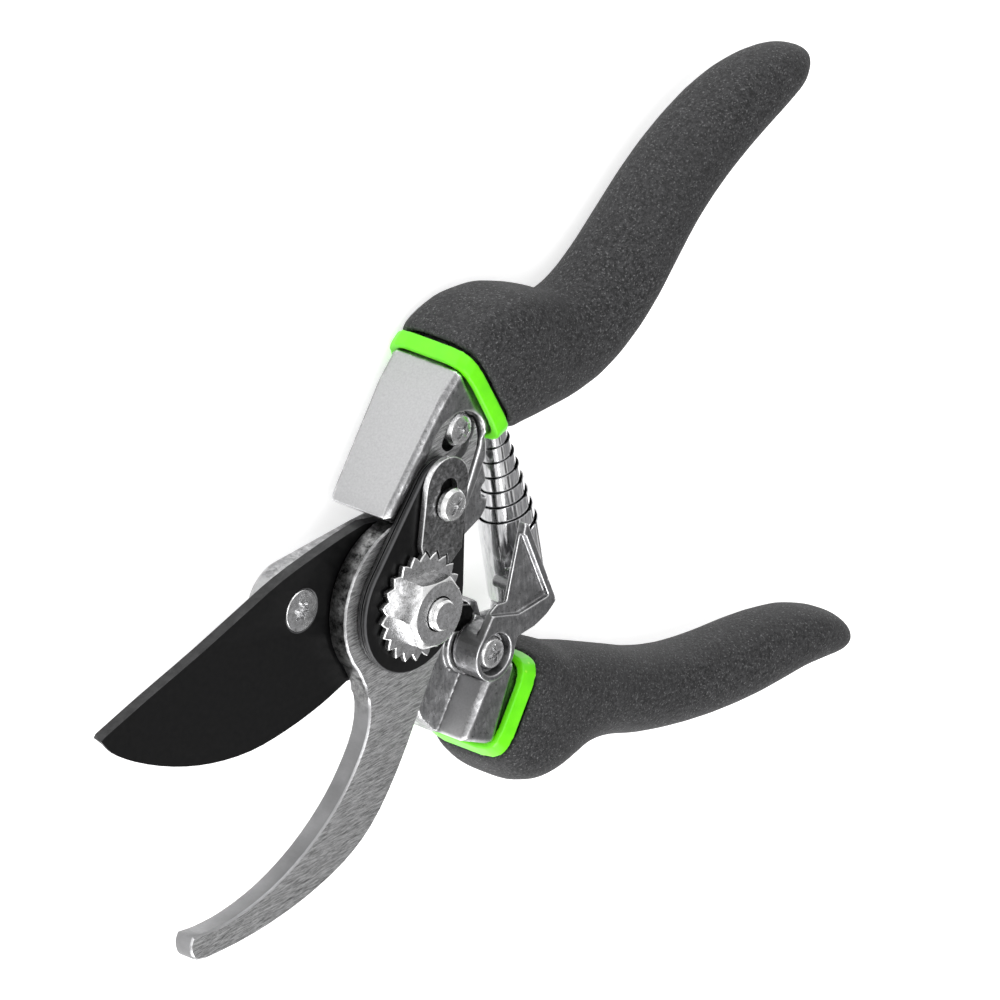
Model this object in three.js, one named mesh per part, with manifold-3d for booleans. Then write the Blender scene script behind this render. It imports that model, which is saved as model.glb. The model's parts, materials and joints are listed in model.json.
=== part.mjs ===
// Bypass pruning shears, open, lying flat: two halves that cross at one bolt, a volute spring between
// the handles, a toothed tension nut with its lock plate, and a thumb latch.
//
// Frame: millimetres. +Z is up, out of the front of the tool. The origin is on the pivot axis, at the
// flat back of the bolt's head, on which the tool rests. +X runs back between the two handles.
// Each half is drawn as it stands with the shears closed, and its group turns it to the open position.
import * as THREE from "three";
import { mergeVertices } from "three/addons/utils/BufferGeometryUtils.js";
import Module from "manifold-3d";

const wasm = await Module();
wasm.setup();

// ---------------------------------------------------------------- driving dimensions
const openAngle = 40; // degrees between the closed and the open handles
const gap = 0.3; // between pieces that touch
const runningGap = 0.4; // between pieces that slide past each other

const upperHandleReach = 135; // pivot axis to the end of the upper grip, along the handle
const lowerHandleReach = 137;
const jawReach = 73; // pivot axis to the tips, along the jaws

// The stack on the pivot bolt, from the back to the front.
const boltHeadRadius = 7.5;
const boltHeadHeight = 3.7;
const boltShankRadius = 3.8;
const boltEndRadius = 3.1;
const boltEndStandOut = 1.6; // beyond the nut
const washerRadius = 8.2;
const washerThickness = 1;
const armBossRadius = 11.5;
const armBossHeight = 1.7;
const armThickness = 3.7; // the lower handle's arm, which carries the blade
const bushWall = 1.1;
const bladeThickness = 2.4;
const hookThickness = 4.2;
const spacerThickness = 0.6;
const pivotPlateThickness = 1.3;
const gearThickness = 1.3;
const gearTeeth = 22;
const gearRadius = 10.5;
const gearToothDepth = 1.4;
const nutAcrossFlats = 12.4;
const nutHeight = 4.5;
const nutCornerAt = 33.4; // direction of one corner of the nut, in degrees

// Blade, hook and pivot plate.
const bladeHeadRadius = 15;
const bladeEdgeLand = 0.5; // thickness of the blade at its edge
const bladeBevel = 7; // width of the ground bevel on the blade's back
const hookHeadRadius = 16;
const tangRadius = 6.9;
const tangEnd = [23.0, 18.2]; // centre of the tang's round end
const pivotPlateRadius = 13.2;
const pivotPlateEndRadius = 6.6;
const pivotPlateEnd = [15.1, 14.7];

// Castings.
const castingBevel = 0.9;
const upperRing = 30.6; // pivot axis to the front of the upper band
const lowerRing = 32;
const blockFront = 5; // height of the castings above the front of the blade, at the pivot
const blockBack = 9.2; // depth of the castings below the front of the blade, at the pivot
const blockFlare = 1.4; // both faces spread by this much towards the bands
const lugFront = 2.2; // height of the upper casting's lug above the front of the blade
const lowerBlockDrop = 1.6; // the lower casting is this much thicker at the back than its arm
const lugBottomEdge = -3; // the lug's lower edge, which meets the lower casting when closed

// Grips and bands.
const gripCentre = 10.9; // height of the grips' centre plane
const upperBandWidth = 3.2;
const lowerBandWidth = 3.5;
const gripWall = 2.2;
const coreShare = 0.9; // of the grip's length is filled by the casting
const coreLead = 2.5; // the core starts this far inside the casting
const bandRecess = 0.35; // the bands lie this much below the grips' surface
const coreRings = 16;
const gripRings = 22;
const bandRings = 3;

// Screws.
const screwBottom = 8; // height at which the screws into the upper casting end
const latchScrewBottom = 9;
const tangScrewSink = 1.6; // depth of the counterbore under the tang screw's head
const latchScrewSink = 2.4;
const bladeScrewSink = 1.6; // height of the blade screw's countersunk cone
const bladeScrewHeadRadius = 4;
const bladeScrewShankRadius = 2.2;
const bladeScrewAt = [-22.9, -1.7];
const panHeadRadius = 3.2;
const panHeadHeight = 2;
const screwShankRadius = 1.7;
const tangScrewAt = [26.0, 19.8];
const lockScrewAt = [14.3, 13.4];
const adjustSlot = 2.6; // travel of the slots for the tang screw and the lock screw
const tangSlotWay = 213; // direction of the tang screw's slot, in degrees
const lockSlotWay = 59.5; // direction of the lock screw's slot and of the lock plate
const crossWidth = 0.8; // of each bar of the screws' cross recess
const crossLength = 3.6;
const crossDepth = 1.2;

// Thumb latch.
const latchAt = [24.9, -11.1];
const latchBossRadius = 5.2;
const latchArmBack = 5.3; // height of the back of the arm above the front of the blade
const latchArmThickness = 1;
const latchRim = 1;
const latchWasherThickness = 0.6;
const latchTurn = 12; // degrees from free to locked
const pegAt = [30.6, 0.6];
const pegRadius = 1.3;

// Volute spring.
const springBigRadius = 5.9;
const springSmallRadius = 1.75;
const springTurns = 9.5;
const springTaper = 1.3; // 1 is a straight cone, and more draws it in sooner
const springStripWidth = 17;
const springStrip = 0.2;
const springSeatLower = [41.6, -4.9]; // centre of the seat's face, on a rib of the lower casting
const springSeatUpper = [40.2, 13.4]; // centre of the socket's floor, in the upper handle
const springDishDepth = 2.4;
const springRibRadius = 2.2;
const springRibRoot = [28, -9.3];
const springHeight = 10.2; // height of the spring's axis
const springSocketDepth = 14;
const springSocketRoom = 1.2; // round the spring's small end

// Cutting shapes reach past a face by one of these.
const past = 1;
const wellPast = 30;

// ---------------------------------------------------------------- derived heights
const washerBottom = boltHeadHeight + gap;
const washerTop = washerBottom + washerThickness;
const armBossBottom = washerTop + gap;
const armBottom = armBossBottom + armBossHeight;
const armTop = armBottom + armThickness;
const bladeBottom = armTop + gap;
const bladeTop = bladeBottom + bladeThickness;
const hookBottom = bladeTop + gap;
const hookTop = hookBottom + hookThickness;
const spacerBottom = hookTop + gap;
const spacerTop = spacerBottom + spacerThickness;
const pivotPlateBottom = spacerTop + gap;
const pivotPlateTop = pivotPlateBottom + pivotPlateThickness;
const gearBottom = pivotPlateTop + gap;
const gearTop = gearBottom + gearThickness;
const nutTop = gearTop + nutHeight;
const boltEnd = nutTop + boltEndStandOut;
const castingFront = bladeTop + blockFront;
const castingBack = bladeTop - blockBack;

// ---------------------------------------------------------------- solids
const radians = THREE.MathUtils.degToRad;

// A closed geometry as a solid, with its shared vertices merged and its faces pointing out.
function solid(geometry) {
  const bare = new THREE.BufferGeometry();
  bare.setAttribute("position", geometry.getAttribute("position").clone());
  bare.setIndex(geometry.index);
  const merged = mergeVertices(bare, 1e-4);
  const corners = merged.index.array;
  const kept = [];
  for (let i = 0; i < corners.length; i += 3) {
    const [a, b, c] = [corners[i], corners[i + 1], corners[i + 2]];
    if (a !== b && b !== c && c !== a) kept.push([a, b, c]);
  }
  const build = (triangles) =>
    new wasm.Manifold(
      new wasm.Mesh({
        numProp: 3,
        vertProperties: merged.attributes.position.array,
        triVerts: new Uint32Array(triangles.flat()),
      }),
    );
  const made = build(kept);
  return made.volume() > 0 ? made : build(kept.map(([a, b, c]) => [a, c, b]));
}

const join = (...parts) => parts.reduce((whole, part) => whole.add(part));
const cut = (whole, ...parts) => parts.reduce((rest, part) => rest.subtract(part), whole);

function arc(x, y, radius, from, to, steps = 12) {
  const points = [];
  for (let i = 0; i <= steps; i += 1) {
    const angle = radians(from + ((to - from) * i) / steps);
    points.push([x + radius * Math.cos(angle), y + radius * Math.sin(angle)]);
  }
  return points;
}

// A smooth curve through points.
function through(points, stepsEach = 3) {
  const path = points.map(([x, y]) => new THREE.Vector3(x, y, 0));
  const curve = new THREE.CatmullRomCurve3(path, false, "centripetal");
  return curve.getPoints(stepsEach * (points.length - 1)).map((p) => [p.x, p.y]);
}

// An outline moved outwards by a distance, or inwards if it is negative. It runs anticlockwise.
function grow(outline, distance) {
  const count = outline.length;
  return outline.map(([x, y], i) => {
    const [ax, ay] = outline[(i + count - 1) % count];
    const [bx, by] = outline[(i + 1) % count];
    const before = new THREE.Vector2(y - ay, ax - x).normalize();
    const after = new THREE.Vector2(by - y, x - bx).normalize();
    const normal = before.add(after).normalize();
    return [x + normal.x * distance, y + normal.y * distance];
  });
}

function prism(outline, bottom, top, bevel = 0) {
  const shape = new THREE.Shape(outline.map(([x, y]) => new THREE.Vector2(x, y)));
  const geometry = new THREE.ExtrudeGeometry(shape, {
    depth: top - bottom - 2 * bevel,
    bevelEnabled: bevel > 0,
    bevelThickness: bevel,
    bevelSize: bevel,
    bevelOffset: -bevel,
    bevelSegments: 1,
  });
  return solid(geometry.translate(0, 0, bottom + bevel));
}

function disc([x, y], radius, bottom, top, sides = 30) {
  const geometry = new THREE.CylinderGeometry(radius, radius, top - bottom, sides);
  geometry.rotateX(Math.PI / 2);
  return solid(geometry.translate(x, y, (bottom + top) / 2));
}

// A turned shape: its profile runs from the axis to the axis as [radius, height] pairs.
function turned([x, y], profile, sides = 30) {
  const points = profile.map(([radius, height]) => new THREE.Vector2(radius, height));
  const geometry = new THREE.LatheGeometry(points, sides);
  geometry.rotateX(Math.PI / 2);
  return solid(geometry.translate(x, y, 0));
}

// A solid skin over rings with the same number of points, closed by a flat cap on each end.
function loft(rings, firstFlat, lastFlat = firstFlat) {
  const count = rings[0].length;
  const index = [];
  for (let ring = 0; ring + 1 < rings.length; ring += 1) {
    for (let i = 0; i < count; i += 1) {
      const a = ring * count + i;
      const b = ring * count + ((i + 1) % count);
      index.push(a, b, b + count, a, b + count, a + count);
    }
  }
  const capOf = (flat) => {
    const contour = flat.map(([x, y]) => new THREE.Vector2(x, y));
    return THREE.ShapeUtils.triangulateShape(contour, []);
  };
  const last = (rings.length - 1) * count;
  for (const [a, b, c] of capOf(firstFlat)) index.push(a, c, b);
  for (const [a, b, c] of capOf(lastFlat)) index.push(last + a, last + b, last + c);
  const geometry = new THREE.BufferGeometry();
  geometry.setAttribute("position", new THREE.Float32BufferAttribute(rings.flat(2), 3));
  geometry.setIndex(index);
  return solid(geometry);
}

// ---------------------------------------------------------------- materials
function finish(color, roughness, metalness) {
  return new THREE.MeshStandardMaterial({ color, roughness, metalness });
}
const castAluminium = finish(0xb9bbbd, 0.4, 1);
const gripRubber = finish(0x434345, 0.85, 0);
const bandPlastic = finish(0x66dd10, 0.45, 0);
const blackSteel = finish(0x1d1d1e, 0.5, 0.6);
const brushedSteel = finish(0x9a9a9c, 0.35, 1);
const brightZinc = finish(0xc9c9cb, 0.3, 1);
const springChrome = finish(0xd8d8da, 0.15, 1);
const bushBrass = finish(0xb08d4a, 0.4, 1);

function piece(name, made, material) {
  const { vertProperties, triVerts } = made.getMesh();
  const geometry = new THREE.BufferGeometry();
  geometry.setAttribute("position", new THREE.BufferAttribute(vertProperties, 3));
  geometry.setIndex(new THREE.BufferAttribute(triVerts, 1));
  const mesh = new THREE.Mesh(geometry.toNonIndexed(), material);
  mesh.geometry.computeVertexNormals();
  mesh.name = name;
  return mesh;
}

// ---------------------------------------------------------------- outlines
// The x of a point on the jaws, given as a share of the length between the hook's head and the tips.
const alongJaw = (share) => -(hookHeadRadius + share * (jawReach - hookHeadRadius));
const jawPoints = (points) => points.map(([share, y]) => [alongJaw(share), y]);

// The cutting edge, from the tip to the blade's head.
const bladeEdge = through([
  ...jawPoints([
    [0.98, -23.0],
    [0.92, -25.3],
    [0.8, -27.5],
    [0.61, -29.2],
    [0.43, -29.3],
    [0.25, -27.7],
    [0.09, -24.3],
  ]),
  [-13, -20.1],
  [-7, -16.1],
]);

function bladeOutline() {
  const tailTop = lugBottomEdge - 0.7;
  const tailAngle = -THREE.MathUtils.radToDeg(Math.asin(-tailTop / bladeHeadRadius));
  return [
    ...bladeEdge,
    ...arc(0, 0, bladeHeadRadius, -98, -32, 8),
    [15, -8.2],
    [23.5, -8.2],
    [25.2, -6.4],
    [25.2, -4.9],
    [24, tailTop],
    ...arc(0, 0, bladeHeadRadius, tailAngle, 108, 14),
    ...through([
      [-9.5, 13.9],
      [-13.5, 12.3],
      ...jawPoints([
        [0.06, 9.6],
        [0.24, 4.4],
        [0.41, -1.9],
        [0.58, -8.3],
        [0.8, -16.1],
        [0.965, -22.2],
      ]),
    ]),
  ];
}

function hookOutline() {
  const inner = through([
    ...jawPoints([
      [0.975, -19.2],
      [0.91, -21.3],
      [0.8, -23.8],
      [0.63, -25.8],
      [0.45, -25.8],
      [0.29, -24.0],
      [0.17, -21.2],
      [0.06, -17.0],
    ]),
    [-16.4, -12.5],
    [-15.4, -8],
  ]);
  const outer = through([
    [0, -17.9],
    [-4, -20.9],
    ...jawPoints([
      [0, -29.2],
      [0.18, -34.1],
      [0.33, -35.3],
      [0.52, -34.2],
      [0.7, -31.6],
      [0.84, -28.7],
      [0.96, -25.6],
    ]),
  ]);
  const tip = through([outer.at(-1), [alongJaw(1.005), -23.4], [alongJaw(1), -20.5], inner[0]], 3);
  const tang = Math.atan2(tangEnd[1], tangEnd[0]);
  const tangWay = THREE.MathUtils.radToDeg(tang) - 5;
  return [
    ...outer.slice(0, -1),
    ...tip.slice(0, -1),
    ...inner,
    ...arc(0, 0, hookHeadRadius, 195, 69, 12),
    ...arc(tangEnd[0], tangEnd[1], tangRadius, tangWay + 93, tangWay - 90, 12),
    ...arc(0, 0, hookHeadRadius, 12, -71, 10),
  ].reverse();
}

// The hull of the plate's two circles.
function pivotPlateOutline() {
  const reach = Math.hypot(...pivotPlateEnd);
  const way = THREE.MathUtils.radToDeg(Math.atan2(pivotPlateEnd[1], pivotPlateEnd[0]));
  const lean = THREE.MathUtils.radToDeg(Math.acos((pivotPlateRadius - pivotPlateEndRadius) / reach));
  return [
    ...arc(0, 0, pivotPlateRadius, way + lean, way + 360 - lean, 28),
    ...arc(...pivotPlateEnd, pivotPlateEndRadius, way - lean, way + lean, 14),
  ];
}

function slotOutline([x, y], radius, length, angle) {
  const dx = Math.cos(radians(angle)) * length;
  const dy = Math.sin(radians(angle)) * length;
  return [
    ...arc(x + dx, y + dy, radius, angle - 90, angle + 90, 10),
    ...arc(x, y, radius, angle + 90, angle + 270, 10),
  ];
}

// ---------------------------------------------------------------- handles
// A handle's skin, as [share of the grip's length, y, half width, half depth] from the band to the end.
const upperStations = [
  [0.0, 22.6, 11.1, 10.8],
  [0.05, 22.9, 12.2, 10.8],
  [0.11, 21.4, 12.9, 10.8],
  [0.18, 16.0, 12.2, 10.6],
  [0.25, 10.8, 9.9, 10.0],
  [0.34, 9.3, 9.3, 9.4],
  [0.44, 11.2, 9.0, 9.0],
  [0.57, 15.9, 8.0, 8.7],
  [0.68, 18.3, 7.8, 8.4],
  [0.8, 18.7, 7.4, 8.0],
  [0.9, 16.9, 6.0, 7.0],
  [0.96, 14.7, 4.4, 5.2],
  [1.0, 13.0, 1.4, 1.8],
];
const lowerStations = [
  [0.0, -21.6, 9.6, 10.3],
  [0.05, -23.2, 11.2, 10.6],
  [0.105, -25.0, 13.3, 10.8],
  [0.17, -24.9, 12.4, 10.6],
  [0.235, -23.6, 10.2, 10.0],
  [0.32, -23.2, 8.5, 9.3],
  [0.415, -24.0, 8.0, 8.7],
  [0.52, -23.6, 7.5, 8.4],
  [0.62, -22.0, 7.4, 8.2],
  [0.725, -19.3, 7.3, 8.0],
  [0.83, -16.6, 6.2, 7.4],
  [0.915, -16.4, 4.8, 6.2],
  [0.97, -17.5, 3.0, 4.4],
  [1.0, -18.5, 1.2, 1.6],
];
const sectionSides = 20;
const sectionPower = 2.35; // 2 is an ellipse, and more is squarer
const bandSectionPower = 5;
const squareShare = 0.25; // of the grip's length has a section squarer than the rest

// A unit section, squarest at the band.
function section(share) {
  const squareness = 1 - THREE.MathUtils.smoothstep(share, 0, squareShare);
  const power = THREE.MathUtils.lerp(sectionPower, bandSectionPower, squareness);
  const squarish = (value) => Math.sign(value) * Math.abs(value) ** (2 / power);
  const points = [];
  for (let i = 0; i < sectionSides; i += 1) {
    const angle = (2 * Math.PI * (i + 0.5)) / sectionSides;
    points.push([squarish(Math.cos(angle)), squarish(Math.sin(angle))]);
  }
  return points;
}

// The handle between two of the stations' parameters, with its skin drawn in by a depth. Its first
// ring is moved back towards the pivot by a lead, or forwards if that is negative.
function handle(stations, ring, reach, from, to, depth, rings, lead = 0) {
  const centre = stations.map(([share, y]) => new THREE.Vector3(ring + share * (reach - ring), y, 0));
  const size = stations.map(([, , width, tall]) => new THREE.Vector3(width, tall, 0));
  const centreCurve = new THREE.CatmullRomCurve3(centre);
  const sizeCurve = new THREE.CatmullRomCurve3(size);
  const made = [];
  for (let i = 0; i < rings; i += 1) {
    const t = THREE.MathUtils.lerp(from, to, i / (rings - 1));
    const at = centreCurve.getPoint(t);
    const along = centreCurve.getTangent(t);
    const half = sizeCurve.getPoint(t);
    if (i === 0) at.addScaledVector(along, -lead);
    const width = Math.max(half.x - depth, 0.8);
    const tall = Math.max(half.y - depth, 0.8);
    const flat = section((at.x - ring) / (reach - ring));
    made.push(
      flat.map(([a, b]) => [at.x - along.y * a * width, at.y + along.x * a * width, gripCentre + b * tall]),
    );
  }
  return loft(made, section(1));
}

// The space from a handle's band outwards, behind the plane of the band's front.
function beyondRing(stations, ring, reach) {
  const flat = handleDirection(stations, ring, reach);
  const size = 80;
  const geometry = new THREE.BoxGeometry(size, size, size);
  geometry.translate(size / 2 - gap, 0, 0);
  geometry.rotateZ(Math.atan2(flat.y, flat.x));
  return solid(geometry.translate(ring, stations[0][1], gripCentre));
}

function handleDirection(stations, ring, reach) {
  const centre = stations.map(([share, y]) => new THREE.Vector3(ring + share * (reach - ring), y, 0));
  return new THREE.CatmullRomCurve3(centre).getTangent(0);
}

// Where along the stations a distance from the band lies, as the curves' own parameter.
function parameterAt(stations, ring, reach, distance) {
  const share = distance / (reach - ring);
  let i = 1;
  while (i < stations.length - 1 && stations[i][0] < share) i += 1;
  const [low, high] = [stations[i - 1][0], stations[i][0]];
  return (i - 1 + (share - low) / (high - low)) / (stations.length - 1);
}

// The socket for one end of the spring, sunk into a handle along the spring's axis.
function springSocket(floor, way, radius) {
  const geometry = new THREE.CylinderGeometry(radius, radius, springSocketDepth, 36);
  geometry.translate(0, springSocketDepth / 2, 0);
  geometry.rotateZ(radians(way) - Math.PI / 2);
  return solid(geometry.translate(floor[0], floor[1], springHeight));
}

function turnPoint([x, y], degrees) {
  const [c, s] = [Math.cos(radians(degrees)), Math.sin(radians(degrees))];
  return [x * c - y * s, x * s + y * c];
}

// The lower casting's seat for the spring: a dish on a rib that reaches out of the casting.
function springSeat() {
  const flare = new THREE.CylinderGeometry(springBigRadius, springRibRadius, springDishDepth, 30);
  flare.translate(0, -springDishDepth / 2, 0);
  flare.rotateZ(radians(springWay + openAngle / 2) - Math.PI / 2);
  const dish = solid(flare.translate(...springSeatLower, springHeight));
  const [x, y] = [springSeatLower[0], springSeatLower[1] - springDishDepth];
  const [dx, dy] = [springRibRoot[0] - x, springRibRoot[1] - y];
  const length = Math.hypot(dx, dy);
  const rib = new THREE.CylinderGeometry(springRibRadius, springRibRadius, length, 30);
  rib.rotateZ(Math.atan2(dy, dx) - Math.PI / 2);
  return join(dish, solid(rib.translate(x + dx / 2, y + dy / 2, springHeight)));
}

// The spring's line in the open position, and its direction in each half's own frame.
const springFrom = turnPoint(springSeatLower, -openAngle / 2);
const springTo = turnPoint(springSeatUpper, openAngle / 2);
const springWay = THREE.MathUtils.radToDeg(
  Math.atan2(springTo[1] - springFrom[1], springTo[0] - springFrom[0]),
);
const springSpan = Math.hypot(springTo[0] - springFrom[0], springTo[1] - springFrom[1]);

// One handle's grip, band and casting core.
function handlePieces(stations, ring, reach, bandWidth) {
  const at = (distance) => parameterAt(stations, ring, reach, distance);
  const bandEnd = at(bandWidth);
  const coreEnd = at(coreShare * (reach - ring));
  const pocketEnd = at(coreShare * (reach - ring) + gap);
  const core = handle(stations, ring, reach, 0, coreEnd, gripWall, coreRings, coreLead);
  const pocket = handle(stations, ring, reach, 0, pocketEnd, gripWall - gap, coreRings, coreLead);
  return {
    core,
    grip: cut(handle(stations, ring, reach, bandEnd, 1, 0, gripRings, -gap), pocket),
    band: cut(handle(stations, ring, reach, 0, bandEnd, bandRecess, bandRings), pocket),
  };
}

// ---------------------------------------------------------------- the hook half
function flared(made, ring) {
  const { vertProperties, triVerts } = made.getMesh();
  const middle = (castingFront + castingBack) / 2;
  for (let i = 0; i < vertProperties.length; i += 3) {
    const share = THREE.MathUtils.clamp(vertProperties[i] / ring, 0, 1);
    const side = (vertProperties[i + 2] - middle) / (castingFront - middle);
    vertProperties[i + 2] += side * share * blockFlare;
  }
  return new wasm.Manifold(new wasm.Mesh({ numProp: 3, vertProperties, triVerts }));
}

// The path of the latch's peg, as a slot in the lug's right edge.
function pegNotch() {
  const [dx, dy] = [pegAt[0] - latchAt[0], pegAt[1] - latchAt[1]];
  const radius = Math.hypot(dx, dy);
  const free = THREE.MathUtils.radToDeg(Math.atan2(dy, dx));
  const locked = turnPoint([dx, dy], latchTurn);
  const room = pegRadius + runningGap;
  const mouth = free - 12; // the slot opens at the lug's edge
  const end = free + latchTurn;
  const path = [
    ...arc(...latchAt, radius + room, mouth, end, 6),
    ...arc(latchAt[0] + locked[0], latchAt[1] + locked[1], room, end, end + 180, 8),
    ...arc(...latchAt, radius - room, end, mouth, 6),
  ];
  return prism(path, castingBack - wellPast, castingFront + wellPast);
}

function upperCasting(core) {
  const clear = bladeHeadRadius + runningGap;
  const innerArc = arc(0, 0, clear, 69, -11.3, 12);
  const inner = innerArc[0];
  const ringTop = [upperRing - gap, 32.2];
  const spine = [
    [ringTop[0], ringTop[1]],
    [24, 30.2],
    [4.3, 19.9],
    [2.6, 18.6],
  ];
  const plan = [
    [18, lugBottomEdge],
    [24.6, lugBottomEdge],
    [26.6, -2.2],
    [28.1, -0.2],
    [29.4, 3.8],
    [30.2, 8],
    [upperRing - gap, 12.6],
    ...spine,
    ...innerArc,
  ];
  const block = [[26, 18.2], [upperRing - gap, 15], ...spine, inner, [11, 14]];
  const ridge = [
    [18.6, 4.2],
    [21, 4.9],
    [28.9, 10.2],
    [upperRing - gap, 12.8],
    [upperRing - gap, 17],
    [20, 14],
  ];
  const body = join(
    prism(plan, castingBack, bladeTop + lugFront, castingBevel),
    flared(prism(block, castingBack, castingFront, castingBevel), upperRing),
    prism(ridge, castingBack + 2, castingFront - 0.1, 0.5),
  );
  const tangPocket = prism(grow(hookOutline(), gap), hookBottom - gap, hookBottom + wellPast);
  const lockRoom = prism(grow(pivotPlateOutline(), runningGap), hookTop, hookTop + wellPast);
  return cut(
    join(cut(body, beyondRing(upperStations, upperRing, upperHandleReach)), core),
    tangPocket,
    lockRoom,
    pegNotch(),
    disc([0, 0], clear, 0, hookBottom),
    disc(tangScrewAt, screwShankRadius + gap, screwBottom - gap, hookTop),
    disc(lockScrewAt, screwShankRadius + gap, screwBottom - gap, hookTop),
  );
}

function hookBlade() {
  const slot = (radius) => slotOutline(tangScrewAt, radius, adjustSlot, tangSlotWay);
  return cut(
    prism(hookOutline(), hookBottom, hookTop, 0.35),
    disc([0, 0], boltShankRadius + gap, hookBottom - past, hookTop + past),
    prism(slot(screwShankRadius + gap), hookBottom - past, hookTop + past),
    prism(slot(panHeadRadius + 0.6), hookTop - tangScrewSink, hookTop + past),
    disc(lockScrewAt, screwShankRadius + gap, hookBottom - past, hookTop + past),
  );
}

function crossRecess([x, y], top) {
  const bars = [0, 1].map((turn) => {
    const geometry = new THREE.BoxGeometry(crossLength, crossWidth, 2 * crossDepth);
    geometry.rotateZ((turn * Math.PI) / 2 + 0.4);
    return solid(geometry.translate(x, y, top));
  });
  return join(...bars);
}

function panScrew(at, seat, bottom) {
  const body = turned(at, [
    [0, bottom],
    [screwShankRadius - 0.4, bottom],
    [screwShankRadius, bottom + 0.8],
    [screwShankRadius, seat],
    [panHeadRadius, seat],
    [panHeadRadius, seat + 0.4 * panHeadHeight],
    [0.86 * panHeadRadius, seat + 0.78 * panHeadHeight],
    [0.5 * panHeadRadius, seat + 0.95 * panHeadHeight],
    [0, seat + panHeadHeight],
  ], 24);
  return cut(body, crossRecess(at, seat + panHeadHeight));
}

// Teeth all round: the radius swings between the root and the tip.
function gearOutline(grownBy) {
  const points = [];
  const stepsPerTooth = 4;
  for (let i = 0; i < gearTeeth * stepsPerTooth; i += 1) {
    const angle = (2 * Math.PI * i) / (gearTeeth * stepsPerTooth);
    const rise = [0, 0.55, 1, 0.55][i % stepsPerTooth];
    const radius = gearRadius - gearToothDepth * (1 - rise) + grownBy;
    points.push([radius * Math.cos(angle), radius * Math.sin(angle)]);
  }
  return points;
}

function gearNut() {
  const corner = nutAcrossFlats / 2 / Math.cos(Math.PI / 6);
  const hexagon = arc(0, 0, corner, nutCornerAt, nutCornerAt + 300, 5);
  const chamfer = turned([0, 0], [
    [0, gearTop - 1],
    [corner, gearTop - 1],
    [corner, nutTop - 0.8],
    [nutAcrossFlats / 2 - 0.2, nutTop],
    [0, nutTop],
  ]);
  const body = join(
    prism(gearOutline(0), gearBottom, gearTop, 0.2),
    prism(hexagon, gearTop - 0.5, nutTop).intersect(chamfer),
  );
  return cut(body, disc([0, 0], boltEndRadius + gap, gearBottom - past, nutTop + past));
}

function lockPlate() {
  const endCentre = [15.8, 16.4];
  const endRadius = 5.6;
  const outline = [
    ...arc(...endCentre, endRadius, lockSlotWay - 90, lockSlotWay + 90, 14),
    [5.2, 10.6],
    ...arc(0, 0, gearRadius - gearToothDepth, 60, 12, 12),
    [13.4, 2.8],
  ];
  const slot = slotOutline(lockScrewAt, screwShankRadius + 2 * gap, adjustSlot, lockSlotWay);
  return cut(
    prism(outline, gearBottom, gearTop, 0.15),
    prism(gearOutline(runningGap), gearBottom - past, gearTop + past),
    prism(slot, gearBottom - past, gearTop + past),
  );
}

function pivotBolt() {
  return turned([0, 0], [
    [0, 0],
    [boltHeadRadius - 0.7, 0],
    [boltHeadRadius, 0.7],
    [boltHeadRadius, boltHeadHeight],
    [boltShankRadius, boltHeadHeight],
    [boltShankRadius, gearBottom - gap],
    [boltEndRadius, gearBottom - gap],
    [boltEndRadius, boltEnd - 1.3],
    [boltEndRadius - 0.5, boltEnd - 1.1],
    [boltEndRadius - 0.5, boltEnd - 0.8],
    [boltEndRadius - 0.1, boltEnd - 0.6],
    [boltEndRadius - 0.5, boltEnd],
    [0, boltEnd],
  ]);
}

function ring(inner, outer, bottom, top) {
  return cut(disc([0, 0], outer, bottom, top), disc([0, 0], inner, bottom - past, top + past));
}

// A flat plate of the pivot plate's shape, with its two holes.
function plateLayer(shrink, bottom, top, bevel) {
  return cut(
    prism(grow(pivotPlateOutline(), -shrink), bottom, top, bevel),
    disc([0, 0], boltShankRadius + gap, bottom - past, top + past),
    disc(lockScrewAt, screwShankRadius + gap, bottom - past, top + past),
  );
}

function hookHalf() {
  const socketWay = springWay + 180 - openAngle / 2;
  const socket = springSocket(springSeatUpper, socketWay, springSmallRadius + springSocketRoom);
  const { core, grip, band } = handlePieces(upperStations, upperRing, upperHandleReach, upperBandWidth);
  const half = new THREE.Group();
  half.add(
    piece("upper_handle", upperCasting(cut(core, socket)), castAluminium),
    piece("upper_grip", cut(grip, socket), gripRubber),
    piece("upper_band", cut(band, socket), bandPlastic),
    piece("hook_blade", hookBlade(), brushedSteel),
    piece("tang_screw", panScrew(tangScrewAt, hookTop - tangScrewSink + gap, screwBottom), brightZinc),
    piece("pivot_spacer", plateLayer(0.3, spacerBottom, spacerTop, 0), blackSteel),
    piece("pivot_plate", plateLayer(0, pivotPlateBottom, pivotPlateTop, 0.3), blackSteel),
    piece("lock_plate", lockPlate(), brightZinc),
    piece("lock_screw", panScrew(lockScrewAt, gearTop + gap, screwBottom), brightZinc),
    piece("gear_nut", gearNut(), brightZinc),
    piece("pivot_bolt", pivotBolt(), brightZinc),
    piece("bolt_washer", ring(boltShankRadius + gap, washerRadius, washerBottom, washerTop), brightZinc),
  );
  half.rotation.z = radians(openAngle / 2);
  return half;
}

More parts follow.
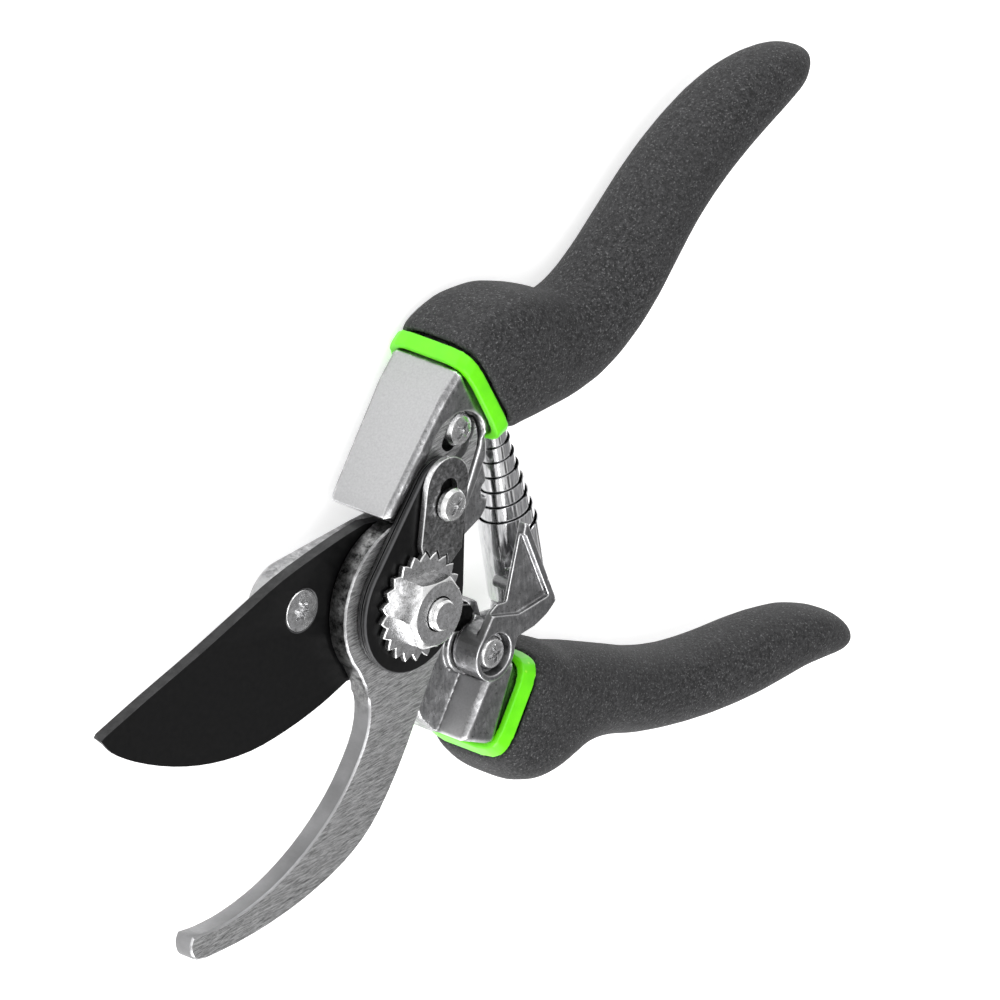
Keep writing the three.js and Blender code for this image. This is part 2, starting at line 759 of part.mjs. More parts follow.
// ---------------------------------------------------------------- the blade half
function cuttingBlade() {
  const outline = bladeOutline();
  const inwards = grow(outline, -1);
  const edgeCount = bladeEdge.length;
  const back = outline.map(([x, y], i) => {
    if (i >= edgeCount) return [x, y];
    const share = Math.sin((Math.PI * (i + 0.6)) / (edgeCount + 0.2));
    const [dx, dy] = [inwards[i][0] - x, inwards[i][1] - y];
    return [x + dx * bladeBevel * share, y + dy * bladeBevel * share];
  });
  const layer = (points, z) => points.map(([x, y]) => [x, y, z]);
  const rings = [
    layer(back, bladeBottom),
    layer(outline, bladeTop - bladeEdgeLand),
    layer(outline, bladeTop),
  ];
  const head = bladeScrewHeadRadius + gap;
  const sink = turned(bladeScrewAt, [
    [0, bladeBottom - past],
    [bladeScrewShankRadius + gap, bladeBottom - past],
    [bladeScrewShankRadius + gap, bladeTop - bladeScrewSink],
    [head, bladeTop],
    [head, bladeTop + past],
    [0, bladeTop + past],
  ]);
  return cut(
    loft(rings, back, outline),
    disc([0, 0], boltShankRadius + bushWall + 2 * gap, bladeBottom - past, bladeTop + past),
    sink,
  );
}

function bladeScrew() {
  const head = turned(bladeScrewAt, [
    [0, armBottom + 0.4],
    [bladeScrewShankRadius, armBottom + 0.4],
    [bladeScrewShankRadius, bladeTop - bladeScrewSink - 0.1],
    [bladeScrewHeadRadius, bladeTop - 0.1],
    [bladeScrewHeadRadius - 0.1, bladeTop + 0.05],
    [0, bladeTop + 0.1],
  ]);
  const lobes = [];
  const lobeCount = 6;
  const steps = 36;
  for (let i = 0; i < steps; i += 1) {
    const angle = (2 * Math.PI * i) / steps;
    const radius = 1.75 + 0.45 * Math.cos(lobeCount * angle);
    lobes.push([bladeScrewAt[0] + radius * Math.cos(angle), bladeScrewAt[1] + radius * Math.sin(angle)]);
  }
  return cut(head, prism(lobes, bladeTop - 1.3, bladeTop + past));
}

function lowerCasting(core) {
  const topEdge = lugBottomEdge - gap;
  const armRadius = bladeHeadRadius - 0.6;
  const armEnd = 8.4;
  const ringBottom = [lowerRing - 1.6, -29.2];
  const ringTop = [lowerRing + 0.6, -13.8];
  const arm = [
    ...arc(...bladeScrewAt, armEnd, 104, 268, 14),
    ...arc(0, 0, armRadius, -112, -72, 5),
    [12, -19],
    [17, -25.2],
    [21, -28],
    ringBottom,
    ringTop,
    [29.6, -7.5],
    [27, topEdge],
    [15.5, topEdge],
    ...arc(0, 0, armRadius, -13, 112, 14),
  ];
  const flat = [
    [13.2, -12.4],
    [12.6, -20],
    [16.5, -25.2],
    [21, -28],
    ringBottom,
    ringTop,
    [29.6, -7.5],
    [27, topEdge],
    [17.2, topEdge],
  ];
  const block = [[21.6, -28], ringBottom, ringTop, [27.4, -12.4], [26.2, -13.2]];
  const body = join(
    prism(arm, armBottom, armTop, 0.5),
    prism(flat, armBottom - lowerBlockDrop, bladeTop - 0.7, 0.5),
    flared(prism(block, castingBack + 0.6, castingFront, castingBevel), lowerRing),
    disc(latchAt, latchBossRadius + 0.4, armBottom - lowerBlockDrop, latchSeat),
    disc([0, 0], armBossRadius, armBossBottom, armBottom + 1),
  );
  return cut(
    join(cut(body, beyondRing(lowerStations, lowerRing, lowerHandleReach)), core),
    disc([0, 0], boltShankRadius + bushWall + 2 * gap, 0, armTop + past),
    disc([0, 0], hookHeadRadius + runningGap, armTop, armTop + wellPast, 60),
    prism(grow(bladeOutline(), gap), bladeBottom - gap, bladeTop + wellPast),
    disc(bladeScrewAt, bladeScrewShankRadius + gap, 0, armTop + past),
    disc(latchAt, latchBossRadius + runningGap, latchSeat, latchSeat + wellPast),
    disc(latchAt, screwShankRadius + gap, latchScrewBottom - past, latchSeat + past),
  );
}

// The latch turns on a washer on the lower casting.
const latchSeat = bladeTop + 0.5;
const latchWasherBottom = latchSeat + gap;
const latchBottom = latchWasherBottom + latchWasherThickness + gap;
const latchTop = bladeTop + latchArmBack + latchArmThickness + latchRim;

function latchLever() {
  const armBack = bladeTop + latchArmBack;
  const [x, y] = latchAt;
  const armOutline = [
    [x - latchBossRadius, y + 0.5],
    ...arc(x, y, latchBossRadius, 200, 340, 8),
    [x + 5.6, y + 3],
    ...through([
      [x + 9.5, y + 4.6],
      [x + 12.6, y + 6.8],
      [x + 14.6, y + 9.4],
    ], 2),
    [x + 14, y + 10.4],
    [x + 3.0, y + 24.6],
    [x + 2.0, y + 24.8],
    [x + 1.6, y + 9.6],
    [x - 0.8, y + 9.3],
    [x - 2.5, y + 7.6],
  ];
  const dished = [
    [x - 4, y + 7.4],
    [x + 4.6, y + 7.4],
    [x + 12.1, y + 10.4],
    [x + 2.7, y + 22.4],
    [x - 4, y + 25.5],
  ];
  const boss = disc(latchAt, latchBossRadius, latchBottom, latchTop);
  const headRoom = panHeadRadius + 0.9;
  return cut(
    join(
      boss,
      prism(armOutline, armBack, latchTop, 0.3),
      disc(pegAt, pegRadius, bladeTop - 0.4, armBack + 0.5, 20),
    ),
    prism(dished, armBack + latchArmThickness, latchTop + past),
    disc(latchAt, headRoom, latchTop - latchScrewSink, latchTop + past),
    disc(latchAt, screwShankRadius + gap, latchBottom - past, latchTop + past),
  );
}

// A strip wound on its edge into a cone, small end towards the upper handle.
function voluteSpring() {
  const length = springSpan - 2 * gap;
  const stepsPerTurn = 14;
  const steps = springTurns * stepsPerTurn;
  const rings = [];
  for (let i = 0; i <= steps; i += 1) {
    const share = i / steps;
    const angle = (2 * Math.PI * i) / stepsPerTurn;
    const drawn = 1 - (1 - share) ** springTaper;
    const radius = THREE.MathUtils.lerp(springBigRadius, springSmallRadius, drawn);
    const low = gap + share * (length - springStripWidth);
    const high = low + springStripWidth;
    const point = (r, along) => [r * Math.cos(angle), along, r * Math.sin(angle)];
    rings.push([
      point(radius - springStrip, low),
      point(radius, low),
      point(radius, high),
      point(radius - springStrip, high),
    ]);
  }
  const square = [[0, 0], [1, 0], [1, 1], [0, 1]];
  return loft(rings, square);
}

function bladeHalf() {
  const { core, grip, band } = handlePieces(lowerStations, lowerRing, lowerHandleReach, lowerBandWidth);
  const half = new THREE.Group();
  const bushInner = boltShankRadius + gap;
  const latchWasher = ring(screwShankRadius + gap, latchBossRadius - 0.6, latchWasherBottom,
    latchWasherBottom + latchWasherThickness);
  half.add(
    piece("lower_handle", lowerCasting(join(core, springSeat())), castAluminium),
    piece("lower_grip", grip, gripRubber),
    piece("lower_band", band, bandPlastic),
    piece("cutting_blade", cuttingBlade(), blackSteel),
    piece("blade_screw", bladeScrew(), brightZinc),
    piece("pivot_bush", ring(bushInner, bushInner + bushWall, armBossBottom, bladeTop), bushBrass),
    piece("latch_washer", latchWasher.translate([...latchAt, 0]), brightZinc),
    piece("latch_screw", panScrew(latchAt, latchTop - latchScrewSink + gap, latchScrewBottom), brightZinc),
    piece("latch_lever", latchLever(), castAluminium),
  );
  half.rotation.z = radians(-openAngle / 2);
  return half;
}

function springPiece() {
  const spring = piece("spring", voluteSpring(), springChrome);
  spring.position.set(springFrom[0], springFrom[1], springHeight);
  spring.rotation.z = radians(springWay - 90);
  return spring;
}

const shears = new THREE.Group();
shears.add(bladeHalf(), hookHalf(), springPiece());

export default shears;
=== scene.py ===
"""Looks of the pruning shears: fine meshes round the CAD frame, procedural materials, studio, camera."""
import json
import math

import bmesh
import bpy
from mathutils import Matrix, Vector


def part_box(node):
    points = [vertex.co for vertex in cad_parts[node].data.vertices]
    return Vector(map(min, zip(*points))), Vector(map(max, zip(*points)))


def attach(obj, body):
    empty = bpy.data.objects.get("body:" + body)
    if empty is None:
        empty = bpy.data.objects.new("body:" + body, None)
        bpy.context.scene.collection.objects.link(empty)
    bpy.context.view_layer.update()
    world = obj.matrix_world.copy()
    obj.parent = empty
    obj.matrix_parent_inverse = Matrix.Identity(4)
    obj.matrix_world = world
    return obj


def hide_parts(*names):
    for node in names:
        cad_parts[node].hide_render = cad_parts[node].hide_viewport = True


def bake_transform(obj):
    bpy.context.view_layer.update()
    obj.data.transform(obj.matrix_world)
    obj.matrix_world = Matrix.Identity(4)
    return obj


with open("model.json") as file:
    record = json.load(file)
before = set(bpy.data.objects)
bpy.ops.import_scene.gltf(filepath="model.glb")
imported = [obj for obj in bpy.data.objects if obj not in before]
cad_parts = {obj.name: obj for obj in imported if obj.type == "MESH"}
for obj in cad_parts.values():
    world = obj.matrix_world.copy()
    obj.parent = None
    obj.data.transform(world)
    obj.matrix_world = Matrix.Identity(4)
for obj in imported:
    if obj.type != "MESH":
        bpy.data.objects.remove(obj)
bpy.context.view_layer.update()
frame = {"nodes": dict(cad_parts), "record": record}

BODIES = frame["record"]["behaviour"]["bodies"]
SLOTS = {part["node"]: part["material_slot"] for part in frame["record"]["subparts"]}
MM = 0.001
SPINE_NORMAL = (-0.739, 0.674, 0)  # of the upper handle's flat outer face
FLAT_AREA = 40e-6  # square metres: larger faces of a machined piece are plane
CRISP_ANGLE = 20  # degrees: sharper edges of a machined piece stay crisp
BEVEL_ANGLE = 32  # degrees: sharper edges of a machined piece are rounded
WELD = 0.002 * MM  # closer vertices of a CAD mesh are joined
PLANE_ANGLE = 0.8  # degrees: CAD triangles that turn less than this are one flat face
PIVOT = Vector((0, 0, 13.5)) * MM  # the middle of the stack on the pivot bolt

# The spring. It has the CAD part's form, but for a slightly thicker strip and the corner cut off its end.
SPRING_BIG = 5.9 * MM  # outer radius at the lower handle
SPRING_SMALL = 1.75 * MM  # outer radius at the upper handle
SPRING_STRIP = 0.22 * MM  # thickness
SPRING_STRIP_WIDTH = 17 * MM
SPRING_LEAN = 4.17 * MM  # its axis leans this much towards the jaws from end to end
SPRING_HEIGHT = 10.2 * MM  # of its axis
SPRING_TURNS = 9.5
SPRING_TAPER = 1.3  # 1 is a straight cone, and more draws it in sooner
SPRING_END = 115  # degrees round the spring's axis at which its outer turn ends
SPRING_CORNER_STEPS = 7  # of the outer turn, over which the strip rises to its full width
SPRING_CORNER_CUT = 0.16  # share of the strip's width that is missing at its outer end

# The view: its axes in the row frame, and how far right of the pivot and above it the picture's middle is.
VIEW_RIGHT = Vector((0.676, -0.066, 0.736))
VIEW_BACK = Vector((-0.630, 0.468, 0.620))
VIEW_CENTRE = (20.5 * MM, 17.1 * MM)
VIEW_DISTANCE = 4.0
VIEW_LENS = 792  # millimetres, on a sensor of VIEW_SENSOR
VIEW_SENSOR = 36
MIRRORED_WAY = (0.63, -0.47, 0.62)  # towards the surroundings that flat front faces mirror in that view


# ---------------------------------------------------------------- material helper
class Finish:
    """A procedural material, built up from noise in the part's own coordinates."""

    def __init__(self, name):
        self.material = bpy.data.materials.new(name)
        self.material.use_nodes = True
        self.tree = self.material.node_tree
        self.shader = self.tree.nodes["Principled BSDF"]
        self.place = self.add("ShaderNodeTexCoord").outputs["Object"]

    def add(self, kind, **settings):
        node = self.tree.nodes.new(kind)
        for key, value in settings.items():
            setattr(node, key, value)
        return node

    def link(self, source, target):
        self.tree.links.new(source, target)

    def stretched(self, turn, scale):
        node = self.add("ShaderNodeMapping")
        node.inputs["Rotation"].default_value = turn
        node.inputs["Scale"].default_value = scale
        self.link(self.place, node.inputs["Vector"])
        return node.outputs["Vector"]

    def noise(self, scale, detail, roughness=0.6, place=None):
        node = self.add("ShaderNodeTexNoise")
        node.inputs["Scale"].default_value = scale
        node.inputs["Detail"].default_value = detail
        node.inputs["Roughness"].default_value = roughness
        self.link(place or self.place, node.inputs["Vector"])
        return node.outputs["Fac"]

    def ramp(self, source, stops):
        node = self.add("ShaderNodeValToRGB")
        elements = node.color_ramp.elements
        while len(elements) < len(stops):
            elements.new(0.5)
        for element, (position, value) in zip(elements, stops):
            element.position = position
            element.color = (value, value, value, 1) if isinstance(value, float) else (*value, 1)
        self.link(source, node.inputs["Fac"])
        return node.outputs["Color"]

    def mix(self, share, first, second):
        node = self.add("ShaderNodeMix", data_type="RGBA")
        for socket, value in ((0, share), (6, first), (7, second)):
            if isinstance(value, (int, float)):
                node.inputs[socket].default_value = value
            elif isinstance(value, tuple):
                node.inputs[socket].default_value = (*value, 1)
            else:
                self.link(value, node.inputs[socket])
        return node.outputs[2]

    def turned_by(self, direction, stops, both=False):
        """A ramp over the cosine between the surface's normal and a direction of the part."""
        dot = self.add("ShaderNodeVectorMath", operation="DOT_PRODUCT")
        self.link(self.add("ShaderNodeTexCoord").outputs["Normal"], dot.inputs[0])
        dot.inputs[1].default_value = direction
        value = dot.outputs["Value"]
        if both:
            size = self.add("ShaderNodeMath", operation="ABSOLUTE")
            self.link(value, size.inputs[0])
            value = size.outputs[0]
        return self.ramp(value, stops)

    def facing(self, direction, low, high, both=False):
        """1 on faces that look along a direction of the part, or against it too, and 0 on the rest."""
        return self.turned_by(direction, [(low, 0.0), (high, 1.0)], both)

    def rounded_edge_highlight(self, share):
        """Painted highlight: a share on the roundings between a plate's flat faces and its walls, and 0 on
        both of those.
        """
        return self.turned_by((0, 0, 1), [(0.15, 0.0), (0.4, share), (0.85, share), (0.97, 0.0)], both=True)

    def near(self, centre, inner, outer):
        """1 within a distance of a point of the part, falling to 0 at a larger one."""
        apart = self.add("ShaderNodeVectorMath", operation="DISTANCE")
        self.link(self.place, apart.inputs[0])
        apart.inputs[1].default_value = centre
        share = self.add("ShaderNodeMapRange")
        share.inputs["From Min"].default_value = inner
        share.inputs["From Max"].default_value = outer
        share.inputs["To Min"].default_value = 1
        share.inputs["To Max"].default_value = 0
        self.link(apart.outputs["Value"], share.inputs["Value"])
        return share.outputs["Result"]

    # Painted highlight: 1 on sharp convex edges, where a lighter colour stands in for light catching them,
    # and 0 elsewhere.
    def sharp_edge_highlight(self, low, high):
        edge = self.add("ShaderNodeNewGeometry").outputs["Pointiness"]
        return self.ramp(edge, [(low, 0.0), (high, 1.0)])

    def bump(self, *layers):
        """Each layer is a height, its strength and its depth in metres."""
        normal = None
        for height, strength, depth in layers:
            node = self.add("ShaderNodeBump")
            node.inputs["Strength"].default_value = strength
            node.inputs["Distance"].default_value = depth
            self.link(height, node.inputs["Height"])
            if normal:
                self.link(normal, node.inputs["Normal"])
            normal = node.outputs["Normal"]
        self.link(normal, self.shader.inputs["Normal"])

    def done(self, color, roughness, metallic=0.0, **others):
        self.link(color, self.shader.inputs["Base Color"])
        self.link(roughness, self.shader.inputs["Roughness"])
        self.shader.inputs["Metallic"].default_value = metallic
        for name, value in others.items():
            self.shader.inputs[name.replace("_", " ")].default_value = value
        return self.material


# ---------------------------------------------------------------- materials
def grip_rubber():
    f = Finish("grip_rubber")
    grain = f.noise(1500, 3, 0.75)
    speckle = f.noise(2600, 2, 0.5)
    cloud = f.noise(45, 3)
    color = f.ramp(grain, [(0.4, (0.007, 0.007, 0.0075)), (0.62, (0.05, 0.05, 0.052))])
    flecks = f.ramp(speckle, [(0.58, 0.0), (0.7, 1.0)])
    color = f.mix(flecks, color, (0.13, 0.13, 0.132))
    color = f.mix(f.ramp(cloud, [(0.35, 0.0), (0.7, 0.3)]), color, (0.03, 0.03, 0.031))
    f.bump((grain, 0.8, 0.35 * MM), (f.noise(900, 2), 0.25, 0.25 * MM))
    return f.done(color, f.ramp(grain, [(0.3, 0.6), (0.7, 0.8)]), Specular_IOR_Level=0.35)


def band_plastic():
    f = Finish("band_plastic")
    cloud = f.noise(160, 4)
    color = f.ramp(cloud, [(0.3, (0.11, 0.68, 0.002)), (0.7, (0.16, 0.82, 0.004))])
    # Painted highlight: a lighter green on the band's sharp edges.
    color = f.mix(f.sharp_edge_highlight(0.53, 0.66), color, (0.34, 0.9, 0.05))
    f.bump((f.noise(700, 3), 0.08, 0.1 * MM))
    return f.done(color, f.ramp(cloud, [(0.3, 0.28), (0.7, 0.4)]), Specular_IOR_Level=0.4)


def cast_aluminium():
    f = Finish("cast_aluminium")
    blotch = f.noise(420, 7, 0.72)
    drag = f.noise(120, 5, 0.7, f.stretched((0, 0, 1.1), (14, 3, 8)))
    pits = f.noise(1500, 4, 0.6)
    color = f.ramp(blotch, [(0.3, (0.16, 0.16, 0.164)), (0.5, (0.34, 0.34, 0.345)), (0.68, (0.6, 0.6, 0.61))])
    color = f.mix(f.ramp(drag, [(0.4, 0.0), (0.62, 0.7)]), color, (0.2, 0.2, 0.205))
    color = f.mix(f.ramp(pits, [(0.28, 0.8), (0.42, 0.0)]), color, (0.08, 0.078, 0.075))
    spine = f.facing(SPINE_NORMAL, 0.93, 0.98)
    fine = f.ramp(f.noise(2600, 3), [(0.3, (0.38, 0.38, 0.385)), (0.7, (0.45, 0.45, 0.455))])
    color = f.mix(spine, color, fine)
    # Painted highlight: near-white on the casting's sharp edges and rims.
    color = f.mix(f.sharp_edge_highlight(0.515, 0.57), color, (0.96, 0.96, 0.97))
    rough = f.mix(spine, f.ramp(blotch, [(0.3, 0.44), (0.7, 0.22)]), (0.5, 0.5, 0.5))
    f.bump((blotch, 0.25, 0.15 * MM), (pits, 0.2, 0.1 * MM))
    return f.done(color, rough, 1.0)


def black_steel():
    f = Finish("black_steel")
    scratch = f.noise(60, 5, 0.6, f.stretched((0, 0, 0.5), (8, 90, 8)))
    fine = f.noise(900, 3)
    black = f.ramp(fine, [(0.3, (0.0015, 0.0015, 0.0017)), (0.7, (0.0045, 0.0044, 0.0045))])
    wall = f.ramp(f.noise(380, 6, 0.7), [(0.35, (0.006, 0.006, 0.0065)), (0.7, (0.035, 0.035, 0.036))])
    color = f.mix(f.facing((0, 0, 1), 0.75, 0.95, both=True), wall, black)
    # Painted highlight: a lighter grey line on the plate's rounded edges.
    color = f.mix(f.rounded_edge_highlight(0.5), color, (0.12, 0.12, 0.125))
    f.bump((scratch, 0.04, 0.04 * MM), (fine, 0.08, 0.04 * MM))
    return f.done(color, f.ramp(scratch, [(0.3, 0.3), (0.75, 0.42)]), Specular_IOR_Level=0.2)


def brushed_steel():
    f = Finish("brushed_steel")
    ground = f.noise(190, 7, 0.8, f.stretched((0, 0, 0.72), (1.8, 17, 2)))
    cross = f.noise(190, 6, 0.8, f.stretched((0, 0, 1.0), (2.4, 18, 2)))
    streaks = [(0.4, (0.13, 0.13, 0.132)), (0.5, (0.64, 0.64, 0.645)), (0.6, (0.98, 0.98, 0.985))]
    face = f.ramp(ground, streaks)
    face = f.mix(0.45, face, f.ramp(cross, [(0.42, (0.2, 0.2, 0.2)), (0.58, (1.0, 1.0, 1.0))]))
    wall = f.ramp(f.noise(140, 5), [(0.3, (0.19, 0.19, 0.193)), (0.7, (0.27, 0.27, 0.275))])
    head = f.near(PIVOT, 18.5 * MM, 23 * MM)
    # Painted shade: the hook head's wall is darkened. Its granular speckle is the forging's own texture.
    speckle_and_shade = f.ramp(f.noise(520, 6, 0.75), [(0.38, (0.012, 0.012, 0.012)), (0.66, (0.3, 0.3, 0.3))])
    wall = f.mix(head, wall, speckle_and_shade)
    color = f.mix(f.facing((0, 0, 1), 0.7, 0.92, both=True), wall, face)
    # Painted highlight: a lighter grey on the plate's rounded edges.
    color = f.mix(f.rounded_edge_highlight(0.3), color, (0.6, 0.6, 0.61))
    f.bump((ground, 0.3, 0.1 * MM), (cross, 0.2, 0.06 * MM))
    return f.done(color, f.ramp(cross, [(0.3, 0.5), (0.7, 0.26)]), 1.0)


def zinc():
    f = Finish("zinc")
    blotch = f.noise(900, 6, 0.72)
    grain = f.noise(2600, 3, 0.6)
    color = f.ramp(blotch, [(0.32, (0.4, 0.4, 0.4)), (0.5, (0.62, 0.62, 0.625)), (0.66, (0.84, 0.84, 0.85))])
    color = f.mix(f.ramp(grain, [(0.3, 0.6), (0.45, 0.0)]), color, (0.12, 0.118, 0.112))
    # Painted highlight: near-white on the rounded edges.
    color = f.mix(f.rounded_edge_highlight(0.7), color, (0.93, 0.93, 0.93))
    f.bump((blotch, 0.15, 0.1 * MM), (grain, 0.2, 0.06 * MM))
    return f.done(color, f.ramp(blotch, [(0.3, 0.34), (0.7, 0.16)]), 1.0)


def rim_highlit_steel():
    """The lock plate: a darker face, with its walls and rims painted lighter as a highlight."""
    f = Finish("rim_highlit_steel")
    grain = f.noise(1300, 5, 0.7)
    greys = [(0.32, (0.07, 0.07, 0.07)), (0.52, (0.22, 0.22, 0.222)), (0.7, (0.55, 0.55, 0.555))]
    face = f.ramp(grain, greys)
    # Painted highlight: a lighter colour on the walls and rounded rims.
    wall = f.ramp(grain, [(0.3, (0.5, 0.5, 0.5)), (0.7, (0.85, 0.85, 0.86))])
    color = f.mix(f.facing((0, 0, 1), 0.9, 0.985, both=True), wall, face)
    f.bump((grain, 0.3, 0.08 * MM))
    return f.done(color, f.ramp(grain, [(0.3, 0.4), (0.7, 0.22)]), 1.0)


def spring_steel():
    f = Finish("spring_steel")
    draw = f.noise(60, 4, 0.6, f.stretched((0, 0, 0), (30, 4, 30)))
    color = f.ramp(draw, [(0.3, (0.52, 0.52, 0.53)), (0.7, (0.9, 0.9, 0.91))])
    f.bump((draw, 0.05, 0.04 * MM))
    return f.done(color, f.ramp(draw, [(0.3, 0.16), (0.7, 0.08)]), 1.0)


def brass():
    f = Finish("brass")
    turned = f.noise(90, 4, 0.6, f.stretched((0, 0, 0), (4, 4, 60)))
    color = f.ramp(turned, [(0.3, (0.4, 0.27, 0.1)), (0.7, (0.68, 0.49, 0.2))])
    f.bump((turned, 0.1, 0.05 * MM))
    return f.done(color, f.ramp(turned, [(0.3, 0.38), (0.7, 0.26)]), 1.0)


def floor_paint():
    f = Finish("floor_paint")
    cloud = f.noise(3, 4)
    f.bump((f.noise(60, 3), 0.03, 1 * MM))
    color = f.ramp(cloud, [(0.3, (0.86, 0.86, 0.86)), (0.7, (0.9, 0.9, 0.9))])
    rough = f.ramp(cloud, [(0.3, 0.8), (0.7, 0.9)])
    return f.done(color, rough, Emission_Color=(1, 1, 1, 1), Emission_Strength=0.6)


FINISHES = {
    "grip_rubber": grip_rubber(),
    "band_plastic": band_plastic(),
    "cast_aluminium": cast_aluminium(),
    "black_steel": black_steel(),
    "brushed_steel": brushed_steel(),
    "zinc": zinc(),
    "spring_steel": spring_steel(),
    "brass": brass(),
}
OWN_FINISH = {"lock_plate": rim_highlit_steel()}


# ---------------------------------------------------------------- meshes
def new_piece(name, mesh, slot):
    piece = bpy.data.objects.new(name, mesh)
    bpy.context.scene.collection.objects.link(piece)
    mesh.materials.append(FINISHES[slot])
    return piece


def body_of(node):
    return next(body for body, nodes in BODIES.items() if node in nodes)


def welded_copy(node):
    """The CAD node's mesh as a new piece, with its vertices joined and flat areas made whole."""
    mesh = bpy.data.meshes.new(node + "_fine")
    edit = bmesh.new()
    edit.from_mesh(frame["nodes"][node].data)
    bmesh.ops.remove_doubles(edit, verts=edit.verts, dist=WELD)
    limit = math.radians(PLANE_ANGLE)
    bmesh.ops.dissolve_limit(edit, angle_limit=limit, verts=edit.verts, edges=edit.edges)
    edit.to_mesh(mesh)
    edit.free()
    piece = new_piece(node + "_fine", mesh, SLOTS[node])
    if node in OWN_FINISH:
        mesh.materials[0] = OWN_FINISH[node]
    return piece


def apply_modifiers(piece):
    graph = bpy.context.evaluated_depsgraph_get()
    made = bpy.data.meshes.new_from_object(piece.evaluated_get(graph))
    piece.modifiers.clear()
    piece.data = made


def shade(piece, angle=180.0, flat_area=math.inf):
    """Smooth shading, but crisp at edges sharper than an angle and plane on faces over an area."""
    for polygon in piece.data.polygons:
        polygon.use_smooth = polygon.area < flat_area
    if angle < 180:
        piece.data.set_sharp_from_angle(angle=math.radians(angle))


def stand_in_for(piece, node):
    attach(piece, body_of(node))
    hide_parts(node)


def moulded(node, voxel, rounds):
    """A cast or moulded piece: an even skin whose edges are softened."""
    piece = welded_copy(node)
    remesh = piece.modifiers.new("skin", "REMESH")
    remesh.mode = "VOXEL"
    remesh.voxel_size = voxel * MM
    soften = piece.modifiers.new("soften", "SMOOTH")
    soften.factor = 0.5
    soften.iterations = rounds
    apply_modifiers(piece)
    shade(piece)
    stand_in_for(piece, node)


def machined(node, edge):
    """A cut or turned piece: crisp faces with a fine rounding on each sharp edge."""
    piece = welded_copy(node)
    bevel = piece.modifiers.new("rounding", "BEVEL")
    bevel.width = edge * MM
    bevel.segments = 2
    bevel.limit_method = "ANGLE"
    bevel.angle_limit = math.radians(BEVEL_ANGLE)
    apply_modifiers(piece)
    shade(piece, CRISP_ANGLE, FLAT_AREA)
    stand_in_for(piece, node)


def volute_spring():
    """The strip, wound on its edge into a cone whose outer turn stands on the lower handle's seat."""
    low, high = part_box("spring")
    tilt = math.atan2(SPRING_LEAN, high.y - low.y)
    reach_x = SPRING_BIG * math.cos(tilt)
    foot = Vector((high.x - reach_x, low.y - SPRING_BIG * math.sin(tilt), SPRING_HEIGHT))
    head = Vector((foot.x - SPRING_LEAN, high.y + SPRING_SMALL * math.sin(tilt), SPRING_HEIGHT))
    steps_per_turn = 64
    steps = int(SPRING_TURNS * steps_per_turn)
    span = (head - foot).length
    along = (head - foot).normalized()
    side = along.cross(Vector((0, 0, 1))).normalized()
    up = side.cross(along)
    edit = bmesh.new()
    previous = None
    for step in range(steps + 1):
        share = step / steps
        angle = math.radians(SPRING_END) - 2 * math.pi * step / steps_per_turn
        out = side * math.cos(angle) + up * math.sin(angle)
        radius = SPRING_SMALL + (SPRING_BIG - SPRING_SMALL) * (1 - share) ** SPRING_TAPER
        start = share * (span - SPRING_STRIP_WIDTH)
        ease = math.sin(min(1.0, step / SPRING_CORNER_STEPS) * math.pi / 2)
        end = start + SPRING_STRIP_WIDTH * (1 - SPRING_CORNER_CUT * (1 - ease))
        inner = radius - SPRING_STRIP
        corners = []
        for distance, reach in ((start, inner), (start, radius), (end, radius), (end, inner)):
            corners.append(edit.verts.new(foot + along * distance + out * reach))
        if previous:
            for i in range(4):
                j = (i + 1) % 4
                edit.faces.new((previous[i], previous[j], corners[j], corners[i]))
        else:
            edit.faces.new(corners)
        previous = corners
    edit.faces.new(list(reversed(previous)))
    bmesh.ops.recalc_face_normals(edit, faces=edit.faces)
    mesh = bpy.data.meshes.new("spring_coil")
    edit.to_mesh(mesh)
    edit.free()
    piece = new_piece("spring_coil", mesh, "spring_steel")
    shade(piece, angle=40)
    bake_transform(piece)
    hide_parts("spring")


# ---------------------------------------------------------------- studio
def camera():
    """From above the tool's front face and from the jaws' side, with the jaws down to the left."""
    right = VIEW_RIGHT.normalized()
    back = VIEW_BACK.normalized()
    up = back.cross(right).normalized()
    right = up.cross(back).normalized()
    aim = PIVOT + right * VIEW_CENTRE[0] + up * VIEW_CENTRE[1]
    data = bpy.data.cameras.new("camera")
    data.lens = VIEW_LENS
    data.sensor_width = VIEW_SENSOR
    data.clip_end = 20
    holder = bpy.data.objects.new("camera", data)
    turn = Matrix((right, up, back)).transposed().to_4x4()
    holder.matrix_world = Matrix.Translation(aim + back * VIEW_DISTANCE) @ turn
    bpy.context.scene.collection.objects.link(holder)
    bpy.context.scene.camera = holder


def softbox(name, place, size, power):
    data = bpy.data.lights.new(name, "AREA")
    data.shape = "RECTANGLE"
    data.size, data.size_y = size
    data.energy = power
    lamp = bpy.data.objects.new(name, data)
    lamp.location = place
    lamp.rotation_euler = (-Vector(place)).to_track_quat("-Z", "Y").to_euler()
    bpy.context.scene.collection.objects.link(lamp)


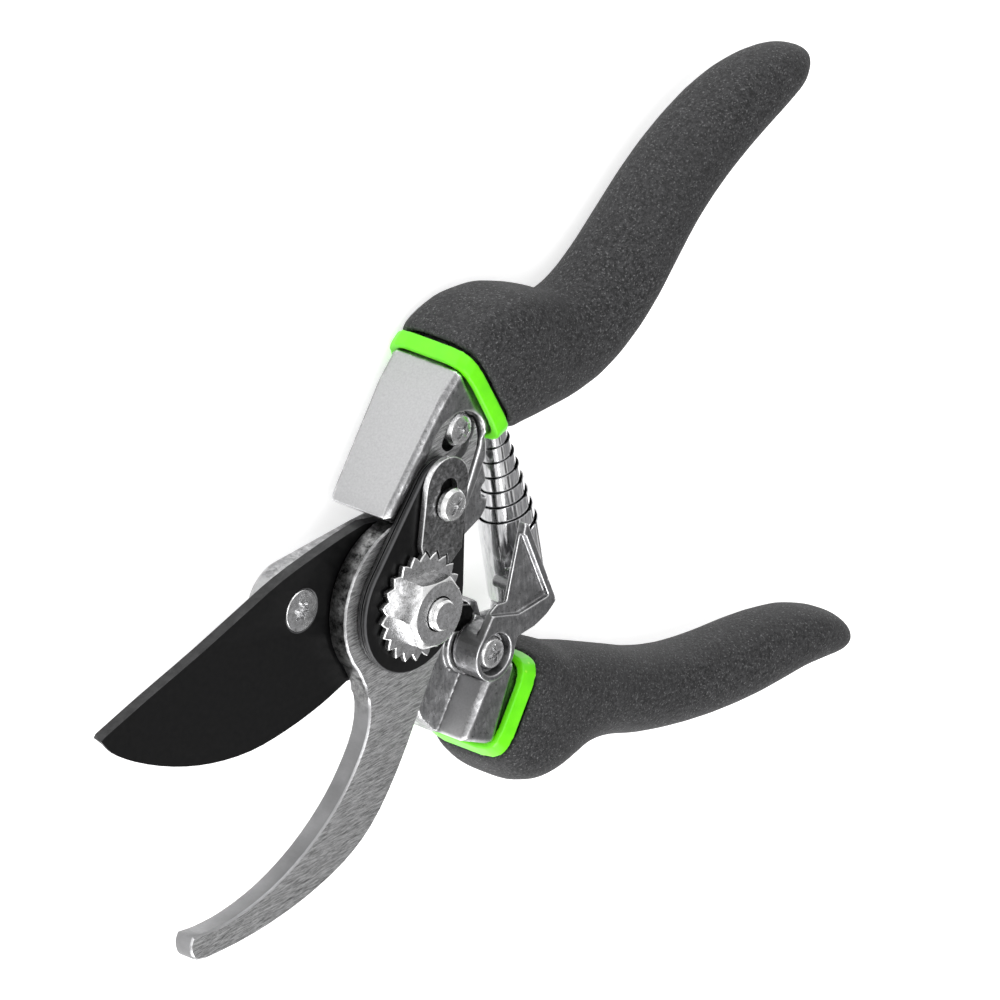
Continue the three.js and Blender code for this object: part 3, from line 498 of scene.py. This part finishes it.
def studio():
    mesh = bpy.data.meshes.new("floor")
    half = 3.0
    corners = [(-half, -half, 0), (half, -half, 0), (half, half, 0), (-half, half, 0)]
    mesh.from_pydata(corners, [], [(0, 1, 2, 3)])
    floor = bpy.data.objects.new("floor", mesh)
    mesh.materials.append(floor_paint())
    bpy.context.scene.collection.objects.link(floor)
    world = bpy.data.worlds.new("studio")
    world.use_nodes = True
    bpy.context.scene.world = world
    tree = world.node_tree
    place = tree.nodes.new("ShaderNodeTexCoord")
    dot = tree.nodes.new("ShaderNodeVectorMath")
    dot.operation = "DOT_PRODUCT"
    dot.inputs[1].default_value = MIRRORED_WAY
    ramp = tree.nodes.new("ShaderNodeValToRGB")
    tree.links.new(place.outputs["Generated"], dot.inputs[0])
    tree.links.new(dot.outputs["Value"], ramp.inputs["Fac"])
    stops = ramp.color_ramp.elements
    stops[0].position, stops[0].color = 0.5, (1, 1, 1, 1)
    stops[1].position, stops[1].color = 0.97, (0.42, 0.42, 0.425, 1)
    for position, value in ((0.72, 0.9), (0.76, 0.1), (0.84, 0.14), (0.87, 1.0), (0.92, 0.3)):
        stops.new(position).color = (value, value, value, 1)
    background = tree.nodes["Background"]
    background.inputs["Strength"].default_value = 0.85
    tree.links.new(ramp.outputs["Color"], background.inputs["Color"])
    softbox("key", place=(-0.9, 0.2, 1.3), size=(1.0, 1.0), power=9)
    softbox("fill", place=(-0.5, -1.2, 0.8), size=(0.9, 0.5), power=12)
    softbox("rim", place=(0.2, 1.3, 0.7), size=(0.9, 0.4), power=3)
    bpy.context.scene.view_settings.view_transform = "Standard"


# ---------------------------------------------------------------- the shears
camera()
studio()
# Voxels and edges are in millimetres.
for grip in ("upper_grip", "lower_grip"):
    moulded(grip, voxel=0.8, rounds=34)
for band in ("upper_band", "lower_band"):
    moulded(band, voxel=0.24, rounds=14)
for casting in ("upper_handle", "lower_handle"):
    moulded(casting, voxel=0.36, rounds=2)
moulded("latch_lever", voxel=0.2, rounds=3)
for plate in ("cutting_blade", "hook_blade", "pivot_plate", "lock_plate"):
    machined(plate, edge=0.15)
for turned_piece in ("gear_nut", "pivot_bolt", "bolt_washer", "pivot_bush", "pivot_spacer", "latch_washer",
                     "blade_screw", "tang_screw", "lock_screw", "latch_screw"):
    machined(turned_piece, edge=0.1)
volute_spring()
